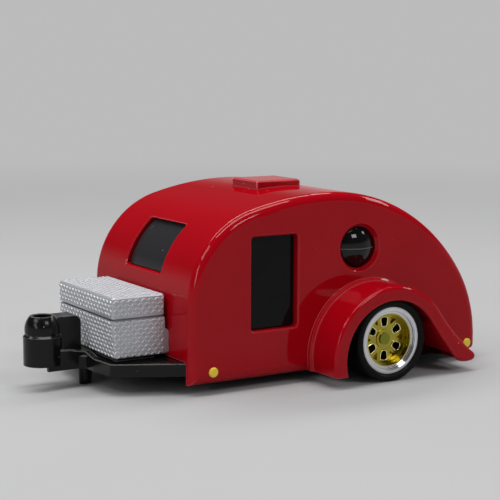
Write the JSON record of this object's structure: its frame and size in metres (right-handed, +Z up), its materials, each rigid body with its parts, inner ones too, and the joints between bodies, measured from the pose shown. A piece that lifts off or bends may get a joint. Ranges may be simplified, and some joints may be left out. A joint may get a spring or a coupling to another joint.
{
  "type": "toy teardrop trailer",
  "caption": "Die-cast toy teardrop camping trailer with swept fenders, a tread-plate tool box and a drawbar with a socket coupler.",
  "frame": {"origin": "on the floor, below the middle of the trailer's length and width", "axes": "+Y is to the rear and -Y to the hitch, +X to the trailer's left side, +Z up"},
  "size_m": [0.039, 0.0604, 0.0248],
  "materials": {
    "red_paint": "glossy candy red over cast zinc",
    "black_insert": "black moulded panes",
    "black_plastic": "satin black moulding",
    "tread_plate": "silver paint over moulded tread plate",
    "steel_wire": "plain drawn wire",
    "tyre": "soft black rubber",
    "chrome_rim": "plated plastic",
    "gold_centre": "gold plated plastic",
    "yellow_marker": "yellow paint dots",
    "rivet_metal": "bare spun zinc"
  },
  "bodies": {
    "trailer": {"body_shell": "red_paint", "cabin_insert": "black_insert", "chassis": "black_plastic", "toolbox": "tread_plate", "marker_lamps": "yellow_marker", "rivet_front": "rivet_metal", "rivet_rear": "rivet_metal"},
    "wheelset": {"axle": "steel_wire", "tyre_left": "tyre", "tyre_right": "tyre", "rim_left": "chrome_rim", "rim_right": "chrome_rim", "spokes_left": "gold_centre", "spokes_right": "gold_centre"}
  },
  "joints": [
    {"name": "axle_spin", "type": "hinge", "parent": "trailer", "child": "wheelset", "pos_m": [0, 0.01185, 0.0053], "axis": [1, 0, 0], "continuous": true}
  ]
}
